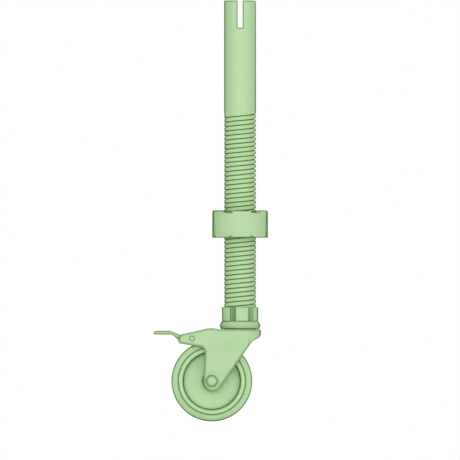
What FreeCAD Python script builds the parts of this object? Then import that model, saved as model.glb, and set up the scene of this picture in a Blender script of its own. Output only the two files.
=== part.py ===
import FreeCAD, Part
import math
import os
import re
import Sketcher

# Levelling castor: a tubular leg with a coarse thread, an adjusting nut that carries the frame above it,
# and a braked swivel castor bolted to the foot of the leg.
# Millimetres. The origin is the centre of the leg's top end, +Z runs up the leg,
# and the castor trails towards -X, where its brake pedal is.

# Driving sizes. "drop" is a depth below the plane where the leg meets the head cap.
SIZES = {
    # Leg tube, with a cross slot in its top end for the locking pin.
    "leg_length": 496,
    "leg_diameter": 49.4,
    "leg_wall": 5,
    "slot_width": 7.8,
    "slot_depth": 42,
    # Coarse two-start thread below the plain stretch. Its crests are turned a little under the tube's size,
    # and it ends inside the collar.
    "plain_length": 173.4,
    "thread_diameter": 48.9,
    "thread_lead": 13.967,
    "thread_start_drop": 1.8,
    "thread_end_length": 10,
    "groove_width": 2.9,
    "groove_depth": 1.4,
    # Shared clearances: a seat that is pushed together, a part that turns, and two faces that rub.
    "seat_gap": 0.05,
    "turning_gap": 0.08,
    "thrust_gap": 0.1,
    # Plug pressed into the foot of the tube, tapped for the king bolt.
    "plug_length": 32,
    "plug_lead": 2,
    "plug_hole_depth": 28,
    # Slotted collar locked round the foot of the leg.
    "collar_diameter": 56.4,
    "collar_height": 21.7,
    "collar_chamfer": 0.8,
    "flute_radius": 5.7,
    "flute_depth": 3,
    "flute_turn": 6.5,
    # Pressed head cap over the upper race.
    "cap_height": 12,
    "cap_top_diameter": 56.6,
    "cap_belly_diameter": 63.4,
    "cap_shoulder": 1.2,
    "cap_belly_drop": 7.4,
    "cap_rim_diameter": 59.2,
    "cap_wall": 2.6,
    "cap_plate": 3,
    # Swivel bearing: steel races fixed to the leg, acetal rings fixed to the fork.
    "upper_race_diameter": 50,
    "upper_race_thickness": 5,
    "upper_ring_bore": 30,
    "lower_ring_diameter": 40,
    "lower_ring_thickness": 3.5,
    "lower_race_diameter": 47,
    "lower_race_thickness": 3,
    "lower_race_lip": 2.2,
    "king_sleeve_diameter": 18,
    "king_bolt_diameter": 12,
    "king_bolt_reach": 25,
    "king_head_flats": 18,
    "king_head_height": 7.5,
    # Pressed fork.
    "crown_drop": 12.35,
    "crown_diameter": 64.6,
    "sheet_thickness": 3.2,
    "fork_inner_width": 46,
    "skirt_depth": 8.3,
    "joggle_start_drop": 27,
    "joggle_end_drop": 48,
    "crown_edge_radius": 2.6,
    "fork_end_radius": 14.4,
    "fork_end_ahead": 1.1,
    "fork_end_below": 1.5,
    "hood_length": 97,
    "hood_mouth": 87,
    "hood_rise": 2.3,
    "hood_rear_drop": 20.5,
    "hood_under_drop": 41,
    "hood_taper_start": 12,
    "hood_taper_end": 48,
    "hood_taper_radius": 14,
    "hood_tail_height": 13.8,
    "hood_tail_rake": 2.4,
    "hood_tail_radius": 5,
    "hood_edge_radius": 2.5,
    "hood_brow": 6,
    "hood_brow_radius": 3,
    "hood_crest_behind": 2,
    "hood_crest_radius": 40,
    "joggle_radius": 12,
    "rear_corner_radius": 9,
    "skirt_nose": 4,
    "skirt_rise": 3,
    "skirt_heel": 2,
    "skirt_heel_drop": 1.6,
    "skirt_radius": 9,
    "throat_behind": 12.6,
    "throat_drop": 9.4,
    "throat_radius": 16,
    # Wheel and its axle, which trails behind the swivel axis.
    "swivel_offset": 43.7,
    "axle_drop": 92.5,
    "wheel_diameter": 125,
    "tyre_width": 34,
    "tyre_shoulder": 4.5,
    "rim_diameter": 104.2,
    "rim_width": 32,
    "rim_wall": 7.1,
    "rim_draft": 2,
    "rim_channel_depth": 3.1,
    "rim_channel_width": 27,
    "web_thickness": 8,
    "hub_diameter": 26.4,
    "hub_length": 44,
    "bearing_shell_diameter": 20.4,
    "bearing_shell_wall": 1.2,
    "roller_diameter": 2.44,
    "roller_length": 38,
    "roller_clearance": 0.03,
    "cage_thickness": 1.3,
    "cage_rim": 2.2,
    "hub_washer_diameter": 25,
    "hub_washer_thickness": 0.8,
    "axle_diameter": 10,
    "axle_head_flats": 16,
    "axle_head_height": 6.4,
    "axle_nut_height": 6.8,
    "axle_nut_collar": 2.2,
    "axle_nut_collar_diameter": 14,
    "axle_thread_end": 1.5,
    # Brake: a pedal on a pin through the hood, with a cam shoe over the tyre.
    "pivot_behind": 30.7,
    "pivot_above": 65.5,
    "pivot_pin_diameter": 6,
    "pedal_sheet": 2.5,
    "pedal_side_gap": 0.6,
    "pedal_length": 133.4,
    "pedal_hub_radius": 6,
    # Lengths along the pedal run from its tip, and heights are above its pin.
    "tread_tip_height": 8.6,
    "tread_lip": 2.3,
    "tread_height": 12.1,
    "tread_bend": 10.5,
    "tread_bend_radius": 14,
    "tread_end": 26.5,
    "tread_end_radius": 18,
    "neck_height": 3.4,
    "neck_start": 45.5,
    "neck_start_radius": 8,
    "neck_end": 52,
    "neck_web": 1.5,
    "flange_front": 28.5,
    "flange_front_radius": 9,
    "flange_step": 36.5,
    "flange_step_drop": 1,
    "flange_toe": 42,
    "flange_toe_rise": 1.2,
    "flange_radius": 3,
    "pedal_edge_radius": 1,
    "shoe_gap": 0.15,
    "shoe_end_gap": 0.15,
    "spring_thickness": 0.8,
    "spring_width": 16,
    "spring_inset": 3,
    "spring_reach": 21,
    "spring_set": 5,
    "spring_radius": 8,
    # Moulded adjusting nut.
    "nut_drop": 324.5,
    "nut_diameter": 86.2,
    "nut_height": 42.4,
    "nut_edge_radius": 2.3,
    "nut_notch_turn": 4,
    "nut_notch_width": 19.3,
    "nut_notch_floor": 13.4,
    "nut_notch_depth": 3.6,
    "nut_notch_lip": 1,
    "nut_rim_wall": 4.2,
    "nut_hub_wall": 5.2,
    "nut_rib": 3,
    "nut_pocket_depth": 34,
    "nut_drain_width": 4.4,
    "nut_drain_height": 2.3,
    "nut_drain_turn": 24.5,
    "washer_diameter": 66,
    "washer_thickness": 2,
    "washer_gap": 0.3,
}

FLUTES = 6
NOTCHES = 6
NUT_POCKETS = 8
ROLLERS = 12

# Share of a half width that a full rounding takes, which leaves a short flat between two roundings.
FULL_ROUND = 0.98
# How far a rib runs into the walls beside it, and a cut beyond the face it goes through.
OVERLAP = 1

doc = FreeCAD.newDocument("levelling_castor")
sheet = doc.addObject("Spreadsheet::Sheet", "size")
for row, (alias, value) in enumerate(SIZES.items(), start=1):
    sheet.set(f"A{row}", alias)
    sheet.set(f"B{row}", str(value))
    sheet.setAlias(f"B{row}", alias)
doc.recompute()

parts = []

# Sizes worked out from the driving ones, used in more than one sub-part.
DERIVED = {
    "thread_r": "thread_diameter / 2",
    "tube_r": "leg_diameter / 2 - leg_wall",
    "king_r": "king_bolt_diameter / 2",
    "king_sleeve_r": "king_sleeve_diameter / 2",
    "crown_r": "crown_diameter / 2",
    "crown_under": "crown_drop + sheet_thickness",
    "upper_race_under": "cap_plate + upper_race_thickness",
    "lower_ring_under": "crown_under + lower_ring_thickness",
    "lower_race_top": "lower_ring_under + thrust_gap",
    "lower_race_under": "lower_race_top + lower_race_thickness",
    "fork_inner": "fork_inner_width / 2",
    "fork_outer": "fork_inner_width / 2 + sheet_thickness",
    "pivot_x": "swivel_offset + pivot_behind",
    "pivot_drop": "axle_drop - pivot_above",
    "wheel_r": "wheel_diameter / 2",
    "rim_r": "rim_diameter / 2",
    "shell_outer": "bearing_shell_diameter / 2",
    "shell_inner": "bearing_shell_diameter / 2 - bearing_shell_wall",
    "roller_pitch": "shell_inner - roller_clearance - roller_diameter / 2",
    "sleeve_outer": "roller_pitch - roller_diameter / 2 - roller_clearance",
    "pedal_outer": "fork_inner - pedal_side_gap",
    "nut_r": "nut_diameter / 2",
}


def formula(text):
    """A formula in plain size names, as the document's expressions write it."""
    while any(re.search(rf"\b{name}\b", text) for name in DERIVED):
        for name, meaning in DERIVED.items():
            text = re.sub(rf"\b{name}\b", f"({meaning})", text)
    return re.sub(r"[a-z]\w*", lambda word: f"size.{word[0]}" if word[0] in SIZES else word[0], text)


def number(text):
    return float(sheet.evalExpression(formula(str(text))))


def bind(item, target, text):
    item.setExpression(target, formula(text))


def start_body(name, x="0", z="0"):
    """A sub-part whose own origin stands at x, z of the castor."""
    body = doc.addObject("PartDesign::Body", name)
    body.Label = name
    bind(body, "Placement.Base.x", x)
    bind(body, "Placement.Base.z", z)
    parts.append(body)
    return body


def castor_body(name):
    """A sub-part drawn about the swivel axis, with heights below the foot of the leg."""
    return start_body(name, z="-leg_length")


def wheel_body(name):
    """A sub-part drawn about the axle."""
    return start_body(name, x="-swivel_offset", z="-leg_length - axle_drop")


def start_sketch(body, role, name, lift=None, turn=None):
    plane = [feature for feature in body.Origin.OriginFeatures if feature.Role == role][0]
    sketch = body.newObject("Sketcher::SketchObject", f"{body.Name}_{name}")
    sketch.AttachmentSupport = (plane, [""])
    sketch.MapMode = "FlatFace"
    if lift:
        bind(sketch, "AttachmentOffset.Base.z", lift)
    if turn:
        bind(sketch, "AttachmentOffset.Rotation.Angle", turn)
    return sketch


def fix(sketch, geometry, point, x, y):
    """Ties one point of a sketch to its two coordinates."""
    for direction, text in (("DistanceX", x), ("DistanceY", y)):
        index = sketch.addConstraint(Sketcher.Constraint(direction, -1, 1, geometry, point, number(text)))
        bind(sketch, f"Constraints[{index}]", text)


def set_radius(sketch, geometry, text):
    index = sketch.addConstraint(Sketcher.Constraint("Radius", geometry, number(text)))
    bind(sketch, f"Constraints[{index}]", text)


def circle(sketch, radius, x="0", y="0"):
    centre = FreeCAD.Vector(number(x), number(y), 0)
    index = sketch.addGeometry(Part.Circle(centre, FreeCAD.Vector(0, 0, 1), number(radius)))
    fix(sketch, index, 3, x, y)
    set_radius(sketch, index, radius)


def outline(sketch, corners):
    """A closed outline through corners (x, y) or, where the corner is rounded, (x, y, radius)."""
    places = [FreeCAD.Vector(number(corner[0]), number(corner[1]), 0) for corner in corners]
    count = len(corners)
    starts = list(places)
    ends = list(places)
    arcs = {}
    for i, corner in enumerate(corners):
        if len(corner) == 2:
            continue
        back = (places[i - 1] - places[i]).normalize()
        ahead = (places[(i + 1) % count] - places[i]).normalize()
        half = back.getAngle(ahead) / 2
        radius = number(corner[2])
        ends[i] = places[i] + back * (radius / math.tan(half))
        starts[i] = places[i] + ahead * (radius / math.tan(half))
        centre = places[i] + (back + ahead).normalize() * (radius / math.sin(half))
        left = back.cross(ahead).z < 0
        first, last = (ends[i], starts[i]) if left else (starts[i], ends[i])
        angles = [math.atan2(point.y - centre.y, point.x - centre.x) for point in (first, last)]
        if angles[1] < angles[0]:
            angles[1] += 2 * math.pi
        round_corner = Part.Circle(centre, FreeCAD.Vector(0, 0, 1), radius)
        arcs[i] = (Part.ArcOfCircle(round_corner, angles[0], angles[1]), left)
    lines = []
    for i in range(count):
        lines.append(sketch.addGeometry(Part.LineSegment(starts[i], ends[(i + 1) % count])))
    for i, corner in enumerate(corners):
        before, after = lines[i - 1], lines[i]
        if i not in arcs:
            sketch.addConstraint(Sketcher.Constraint("Coincident", before, 2, after, 1))
            fix(sketch, after, 1, corner[0], corner[1])
            continue
        shape, left = arcs[i]
        arc = sketch.addGeometry(shape)
        near, far = (1, 2) if left else (2, 1)
        sketch.addConstraint(Sketcher.Constraint("Tangent", before, 2, arc, near))
        sketch.addConstraint(Sketcher.Constraint("Tangent", after, 1, arc, far))
        set_radius(sketch, arc, corner[2])
        mark = sketch.addGeometry(Part.Point(places[i]), True)
        sketch.addConstraint(Sketcher.Constraint("PointOnObject", mark, 1, before))
        sketch.addConstraint(Sketcher.Constraint("PointOnObject", mark, 1, after))
        fix(sketch, mark, 1, corner[0], corner[1])


def box(sketch, near, far, half):
    """An oblong that runs out along the sketch's first axis."""
    outline(sketch, [(near, f"-({half})"), (far, f"-({half})"), (far, half), (near, half)])


def hexagon(sketch, flats):
    """A hexagon with two of its flats level."""
    half = f"{flats} / 2"
    point = f"{flats} / sqrt(3)"
    side = f"{flats} / (2 * sqrt(3))"
    outline(sketch, [
        (point, "0"), (side, half), (f"-{side}", half),
        (f"-{point}", "0"), (f"-{side}", f"-{half}"), (side, f"-{half}"),
    ])


def feature(body, kind, name, sketch):
    item = body.newObject(f"PartDesign::{kind}", f"{body.Name}_{name}")
    item.Profile = sketch
    sketch.Visibility = False
    return item


def pad(body, sketch, length, name="pad", reverse=False, middle=False):
    item = feature(body, "Pad", name, sketch)
    bind(item, "Length", length)
    item.Reversed = reverse
    item.Midplane = middle
    return item


def pocket(body, sketch, name, length=None, reverse=False, middle=False):
    item = feature(body, "Pocket", name, sketch)
    if length:
        bind(item, "Length", length)
    else:
        item.Type = "ThroughAll"
    item.Reversed = reverse
    item.Midplane = middle
    return item


def spin(body, corners, role="XZ_Plane", name="profile", cut=False):
    """A turned form: corners give radius and height. On XY_Plane it turns about the axle."""
    sketch = start_sketch(body, role, name)
    outline(sketch, corners)
    item = feature(body, "Groove" if cut else "Revolution", f"{name}_turned", sketch)
    item.ReferenceAxis = (sketch, ["V_Axis"])
    item.Angle = 360
    return item


def repeat(body, item, axis_sketch, axis, count):
    doc.recompute()
    pattern = body.newObject("PartDesign::PolarPattern", f"{item.Name}_ring")
    pattern.Originals = [item]
    pattern.Axis = (axis_sketch, [axis])
    pattern.Angle = 360
    pattern.Occurrences = count
    body.Tip = pattern
    return pattern


def ring(body, outer, inner, top, bottom, role="XZ_Plane"):
    return spin(body, [(inner, bottom), (outer, bottom), (outer, top), (inner, top)], role)


def thread_start(body, side):
    """One start of the thread: a V groove that winds down from side 1 or -1 of the plain stretch's foot."""
    start = start_sketch(body, "XZ_Plane", f"groove_{'right' if side > 0 else 'left'}")
    height = "(-plain_length - thread_start_drop)"
    beyond = f"{side} * (thread_r + groove_depth)"
    outline(start, [
        (f"{side} * (thread_r - groove_depth)", height),
        (beyond, f"{height} - groove_width"), (beyond, f"{height} + groove_width"),
    ])
    groove = feature(body, "SubtractiveHelix", f"{start.Name}_cut", start)
    groove.ReferenceAxis = (start, ["V_Axis"])
    groove.Mode = 0
    groove.Reversed = True
    bind(groove, "Pitch", "thread_lead")
    bind(groove, "Height", "leg_length - plain_length - thread_start_drop - thread_end_length")


def leg_tube():
    body = start_body("leg_tube")
    outer = "leg_diameter / 2"
    spin(body, [
        ("tube_r", "-leg_length"),
        ("thread_r", "-leg_length"),
        ("thread_r", "-plain_length"),
        (outer, "-plain_length"),
        (outer, "0"),
        ("tube_r", "0"),
    ])
    slot = start_sketch(body, "XZ_Plane", "slot")
    half = "slot_width / 2"
    outline(slot, [
        (f"-{half}", "leg_wall"), (f"-{half}", "-slot_depth"), (half, "-slot_depth"), (half, "leg_wall"),
    ])
    pocket(body, slot, "slot_cut", middle=True)
    for side in (1, -1):
        thread_start(body, side)


def leg_plug():
    body = castor_body("leg_plug")
    outer = "tube_r - seat_gap"
    hole = "king_r + seat_gap"
    spin(body, [
        (hole, "0"), (outer, "0"), (outer, "plug_length - plug_lead"),
        (f"{outer} - plug_lead", "plug_length"), ("0", "plug_length"),
        ("0", "plug_hole_depth"), (hole, "plug_hole_depth"),
    ])


def slotted_collar():
    body = castor_body("slotted_collar")
    outer = "collar_diameter / 2"
    bore = "thread_r + seat_gap"
    cut = "collar_chamfer"
    spin(body, [
        (bore, "0"), (f"{outer} - {cut}", "0"), (outer, cut),
        (outer, f"collar_height - {cut}"), (f"{outer} - {cut}", "collar_height"), (bore, "collar_height"),
    ])
    flute = start_sketch(body, "XY_Plane", "flute", turn="flute_turn")
    circle(flute, "flute_radius", f"{outer} - flute_depth + flute_radius")
    cutter = pocket(body, flute, "flute_cut", reverse=True)
    repeat(body, cutter, flute, "N_Axis", FLUTES)


def head_cap():
    body = castor_body("head_cap")
    top, belly, rim = "cap_top_diameter / 2", "cap_belly_diameter / 2", "cap_rim_diameter / 2"
    wall = "cap_wall"
    hole = "king_r + seat_gap"
    spin(body, [
        (hole, "0"), (top, "0"), (f"{belly} - cap_shoulder", "-cap_belly_drop / 2"),
        (belly, "-cap_belly_drop"), (rim, "-cap_height"), (f"{rim} - {wall}", "-cap_height"),
        (f"{belly} - {wall}", "-cap_belly_drop"), (f"{top} - {wall}", "-cap_plate"), (hole, "-cap_plate"),
    ])


def swivel_bearing():
    """Upper and lower races on the leg's side, with an acetal ring under each on the fork's side."""
    sleeve_fit = "king_sleeve_r + seat_gap"
    race = castor_body("upper_race")
    ring(race, "upper_race_diameter / 2", sleeve_fit, "-cap_plate", "-upper_race_under")
    upper = castor_body("upper_bearing_ring")
    top = "-upper_race_under - thrust_gap"
    ring(upper, "upper_race_diameter / 2", "upper_ring_bore / 2", top, "-crown_drop")
    lower = castor_body("lower_bearing_ring")
    bore = "king_sleeve_r + turning_gap"
    ring(lower, "lower_ring_diameter / 2", bore, "-crown_under", "-lower_ring_under")
    cup = castor_body("lower_race")
    edge = "lower_race_diameter / 2"
    inside = f"{edge} - lower_race_thickness / 2"
    spin(cup, [
        ("king_r + seat_gap", "-lower_race_under"), (edge, "-lower_race_under"),
        (edge, "-lower_race_top + lower_race_lip"), (inside, "-lower_race_top + lower_race_lip"),
        (inside, "-lower_race_top"), ("king_r + seat_gap", "-lower_race_top"),
    ])
    sleeve = castor_body("king_sleeve")
    ring(sleeve, "king_sleeve_r", "king_r + seat_gap", "-cap_plate", "-lower_race_top")


# The flat circle left on a bolt's head, as a share of its width across flats.
BEVEL_SHARE = 0.95


def bevel_hexagon(body, flats, face, role, inward):
    """Takes the six points off a hexagon's outer face at a shallow angle."""
    corner = f"{flats} / sqrt(3)"
    inner = f"{flats} / 2 * {BEVEL_SHARE}"
    depth = f"{inward} * ({corner} - {inner}) / 2"
    spin(body, [
        (inner, face), (f"{corner} + {OVERLAP}", face), (f"{corner} + {OVERLAP}", f"{face} + {depth} * 2"),
        (corner, f"{face} + {depth}"),
    ], role, "bevel", cut=True)


def king_bolt():
    body = castor_body("king_bolt")
    head = start_sketch(body, "XY_Plane", "head", lift="-lower_race_under")
    hexagon(head, "king_head_flats")
    pad(body, head, "king_head_height", reverse=True)
    shank = start_sketch(body, "XY_Plane", "shank", lift="-lower_race_under")
    circle(shank, "king_r")
    pad(body, shank, "lower_race_under + king_bolt_reach", "shank_pad")
    bevel_hexagon(body, "king_head_flats", "-lower_race_under - king_head_height", "XZ_Plane", "1")


# Where the fork's legs would meet below its round end, as shares of that end's radius.
FRONT_CORNER = 0.53
REAR_CORNER = 1.03
REAR_EDGE = 0.79
END_ROUNDING = 0.97


# Fork outline, seen from the side: how far ahead of the swivel axis, and how far below the foot of the leg.
def fork_side(sketch):
    end_x = "-swivel_offset + fork_end_ahead"
    end_z = "-axle_drop - fork_end_below"
    round_end = "fork_end_radius"
    rounding = f"{round_end} * {END_ROUNDING}"
    skirt = "-crown_drop - skirt_depth"
    outline(sketch, [
        ("crown_r + skirt_nose", "-crown_drop"),
        ("crown_r + skirt_nose", f"{skirt} + skirt_rise"),
        ("crown_r - skirt_heel", f"{skirt} - skirt_heel_drop", "skirt_radius"),
        ("crown_r - throat_behind", f"{skirt} - throat_drop", "throat_radius"),
        (f"{end_x} + {round_end} * {FRONT_CORNER}", f"{end_z} - {round_end}", rounding),
        (f"{end_x} - {round_end} * {REAR_CORNER}", f"{end_z} - {round_end}", rounding),
        (f"{end_x} - {round_end} * {REAR_EDGE}", "-hood_under_drop", "rear_corner_radius"),
        ("-hood_length + hood_tail_rake", "-hood_rear_drop - hood_tail_height", "hood_tail_radius"),
        ("-hood_length", "-hood_rear_drop - hood_brow", "hood_edge_radius"),
        ("-hood_length + hood_brow", "-hood_rear_drop", "hood_brow_radius"),
        ("-swivel_offset - hood_crest_behind", "-crown_drop + hood_rise", "hood_crest_radius"),
        ("-crown_r", "-crown_drop"),
    ])


# The same top edge one sheet thickness down, closed well below the fork.
def fork_side_inside(sketch):
    under = "sheet_thickness"
    outline(sketch, [
        ("crown_diameter", "-crown_under"),
        ("crown_diameter", "-axle_drop * 2"),
        ("-hood_length * 1.5", "-axle_drop * 2"),
        ("-hood_length * 1.5", f"-hood_rear_drop - {under}"),
        ("-hood_length + hood_brow", f"-hood_rear_drop - {under}"),
        ("-swivel_offset - hood_crest_behind", f"-crown_drop + hood_rise - {under}", "hood_crest_radius"),
        ("-crown_r", "-crown_under"),
    ])


def fork_plan(sketch, inset="0"):
    """Round crown in front, narrowing to the hood's parallel cheeks."""
    half = f"(fork_outer - {inset})"
    radius = f"(crown_r - {inset})"
    outline(sketch, [
        (radius, f"-{radius}", f"{radius} * {FULL_ROUND}"),
        (radius, radius, f"{radius} * {FULL_ROUND}"),
        ("-hood_taper_start", radius, "hood_taper_radius"),
        ("-hood_taper_end", half, "hood_taper_radius"),
        ("-hood_length * 1.5", half),
        ("-hood_length * 1.5", f"-{half}"),
        ("-hood_taper_end", f"-{half}", "hood_taper_radius"),
        ("-hood_taper_start", f"-{radius}", "hood_taper_radius"),
    ])


def fork_front(sketch, inset="0"):
    """Sloping in from the crown to the cheeks that hold the wheel."""
    half = f"(fork_outer - {inset})"
    wide = f"(crown_r * 2 - fork_outer - {inset})"
    top = "-2 * joggle_start_drop + joggle_end_drop"
    outline(sketch, [
        (f"-{wide}", top), (wide, top), (half, "-joggle_end_drop", "joggle_radius"),
        (half, "-axle_drop * 2"), (f"-{half}", "-axle_drop * 2"),
        (f"-{half}", "-joggle_end_drop", "joggle_radius"),
    ])


def trimmed_block(body, side, inset):
    """A block cut to its side, plan and front outlines."""
    profile = start_sketch(body, "XZ_Plane", "side")
    side(profile)
    pad(body, profile, "crown_diameter * 1.2", middle=True)
    for role, name, draw in (("XY_Plane", "plan", fork_plan), ("YZ_Plane", "front", fork_front)):
        trim = start_sketch(body, role, name)
        outline(trim, [
            ("-axle_drop * 3", "-axle_drop * 3"), ("axle_drop * 3", "-axle_drop * 3"),
            ("axle_drop * 3", "axle_drop * 3"), ("-axle_drop * 3", "axle_drop * 3"),
        ])
        draw(trim, inset)
        pocket(body, trim, f"{name}_cut", middle=True)


def fork():
    body = castor_body("fork")
    trimmed_block(body, fork_side, "0")
    doc.recompute()
    block = body.Tip
    round_edges = body.newObject("PartDesign::Fillet", "fork_crown_edge")
    round_edges.Base = (block, crown_edges(block.Shape))
    bind(round_edges, "Radius", "crown_edge_radius")
    hollow = doc.addObject("PartDesign::Body", "fork_hollow")
    trimmed_block(hollow, fork_side_inside, "sheet_thickness")
    doc.recompute()
    press = body.newObject("PartDesign::Boolean", "fork_press")
    press.Type = "Cut"
    press.setObjects([hollow])
    mouth = start_sketch(body, "XY_Plane", "mouth", lift="-crown_drop")
    outline(mouth, [
        ("-hood_length * 1.5", "-fork_inner"), ("-hood_mouth", "-fork_inner"),
        ("-hood_mouth", "fork_inner"), ("-hood_length * 1.5", "fork_inner"),
    ])
    pocket(body, mouth, "mouth_cut", "hood_rear_drop")
    king = start_sketch(body, "XY_Plane", "king_hole")
    circle(king, "king_sleeve_r + turning_gap")
    pocket(body, king, "king_hole_cut", "crown_drop + sheet_thickness * 2")
    pins = start_sketch(body, "XZ_Plane", "pin_holes")
    circle(pins, "axle_diameter / 2 + seat_gap", "-swivel_offset", "-axle_drop")
    circle(pins, "pivot_pin_diameter / 2 + seat_gap", "-pivot_x", "-pivot_drop")
    pocket(body, pins, "pin_holes_cut", middle=True)


def crown_edges(shape):
    """Outer edges of the pressed top: those that join an upward face to a steep one."""
    upward, steep = 0.8, 0.2
    rear = number("hood_brow + hood_brow_radius - hood_length")
    chosen = []
    for index, edge in enumerate(shape.Edges, start=1):
        faces = [face for face in shape.Faces if any(edge.isSame(other) for other in face.Edges)]
        middle = edge.valueAt((edge.FirstParameter + edge.LastParameter) / 2)
        rises = []
        for face in faces:
            u, v = face.Surface.parameter(middle)
            rises.append(face.normalAt(u, v).z)
        if len(rises) == 2 and max(rises) > upward and abs(min(rises)) < steep and middle.x > rear:
            chosen.append(f"Edge{index}")
    return chosen


def wheel():
    rim = wheel_body("wheel_rim")
    channel = "rim_r - rim_channel_depth"
    edge, groove, web = "rim_width / 2", "rim_channel_width / 2", "web_thickness / 2"
    inner = "(rim_r - rim_wall)"
    bore = "shell_outer + seat_gap"
    hub, half = "hub_diameter / 2", "hub_length / 2"
    spin(rim, [
        (bore, f"-{half}"), (hub, f"-{half}"), (f"{hub} + rim_draft", f"-{web}"),
        (f"{inner} - rim_draft", f"-{web}"), (inner, f"-{edge}"), ("rim_r", f"-{edge}"),
        ("rim_r", f"-{groove}"), (channel, f"-{groove}"), (channel, groove), ("rim_r", groove),
        ("rim_r", edge), (inner, edge), (f"{inner} - rim_draft", web),
        (f"{hub} + rim_draft", web), (hub, half), (bore, half),
    ], "XY_Plane")
    tyre = wheel_body("tyre")
    seat, side = "rim_r - rim_channel_depth + seat_gap", "tyre_width / 2"
    lip = "rim_r + seat_gap"
    inside = "(rim_channel_width / 2 - seat_gap)"
    bevel = "tyre_shoulder * (1 - sqrt(2) / 2)"
    spin(tyre, [
        (seat, f"-{inside}"), (lip, f"-{inside}"), (lip, f"-{side}"),
        ("wheel_r - tyre_shoulder", f"-{side}"), (f"wheel_r - {bevel}", f"-{side} + {bevel}"),
        ("wheel_r", f"-{side} + tyre_shoulder"), ("wheel_r", f"{side} - tyre_shoulder"),
        (f"wheel_r - {bevel}", f"{side} - {bevel}"), ("wheel_r - tyre_shoulder", side),
        (lip, side), (lip, inside), (seat, inside),
    ], "XY_Plane")
    shell = wheel_body("bearing_shell")
    ring(shell, "shell_outer", "shell_inner", half, f"-{half}", "XY_Plane")
    washers = wheel_body("hub_washers")
    near = f"{half} + seat_gap"
    far = f"{near} + hub_washer_thickness"
    ring(washers, "hub_washer_diameter / 2", "sleeve_outer + turning_gap", far, near, "XY_Plane")
    mirror = washers.newObject("PartDesign::Mirrored", "hub_washers_pair")
    mirror.Originals = [washers.Tip]
    flat = [item for item in washers.Origin.OriginFeatures if item.Role == "XZ_Plane"][0]
    mirror.MirrorPlane = (flat, [""])
    washers.Tip = mirror


def roller_bearing():
    cage = wheel_body("roller_cage")
    wall = "cage_thickness / 2"
    half = "(roller_length / 2 + cage_rim)"
    ring(cage, f"roller_pitch + {wall}", f"roller_pitch - {wall}", half, f"-{half}", "XY_Plane")
    slot = start_sketch(cage, "XY_Plane", "slot")
    wide, long = "(roller_diameter / 2 + turning_gap)", "(roller_length / 2 + turning_gap)"
    outline(slot, [(f"-{wide}", f"-{long}"), (wide, f"-{long}"), (wide, long), (f"-{wide}", long)])
    cutter = pocket(cage, slot, "slot_cut", "roller_pitch * 2", reverse=True)
    repeat(cage, cutter, slot, "V_Axis", ROLLERS)
    rollers = wheel_body("rollers")
    end = start_sketch(rollers, "XZ_Plane", "roller")
    circle(end, "roller_diameter / 2", "0", "roller_pitch")
    one = pad(rollers, end, "roller_length", middle=True)
    repeat(rollers, one, end, "N_Axis", ROLLERS)
    sleeve = wheel_body("axle_sleeve")
    reach = "(fork_inner - seat_gap)"
    ring(sleeve, "sleeve_outer", "axle_diameter / 2 + seat_gap", reach, f"-{reach}", "XY_Plane")


def axle():
    bolt = wheel_body("axle_bolt")
    shank = start_sketch(bolt, "XZ_Plane", "shank", lift="fork_outer")
    circle(shank, "axle_diameter / 2")
    reach = "2 * fork_outer + axle_nut_height + axle_nut_collar + axle_thread_end"
    pad(bolt, shank, reach, "shank_pad", reverse=True)
    head = start_sketch(bolt, "XZ_Plane", "head", lift="fork_outer")
    hexagon(head, "axle_head_flats")
    pad(bolt, head, "axle_head_height")
    bevel_hexagon(bolt, "axle_head_flats", "-fork_outer - axle_head_height", "XY_Plane", "1")
    nut = wheel_body("axle_nut")
    flats = start_sketch(nut, "XZ_Plane", "flats", lift="-fork_outer")
    hexagon(flats, "axle_head_flats")
    circle(flats, "axle_diameter / 2 + seat_gap")
    pad(nut, flats, "axle_nut_height", reverse=True)
    collar = start_sketch(nut, "XZ_Plane", "collar", lift="-fork_outer - axle_nut_height")
    circle(collar, "axle_nut_collar_diameter / 2")
    circle(collar, "axle_diameter / 2 + seat_gap")
    pad(nut, collar, "axle_nut_collar", "collar_pad", reverse=True)
    bevel_hexagon(nut, "axle_head_flats", "fork_outer + axle_nut_height", "XY_Plane", "-1")


def brake_body(name):
    """A sub-part drawn about the brake pedal's pin."""
    return start_body(name, x="-pivot_x", z="-leg_length - pivot_drop")


# The same share for the rounding of the pedal's hub, which has a slanted edge beside it.
HUB_ROUND = 0.9


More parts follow.
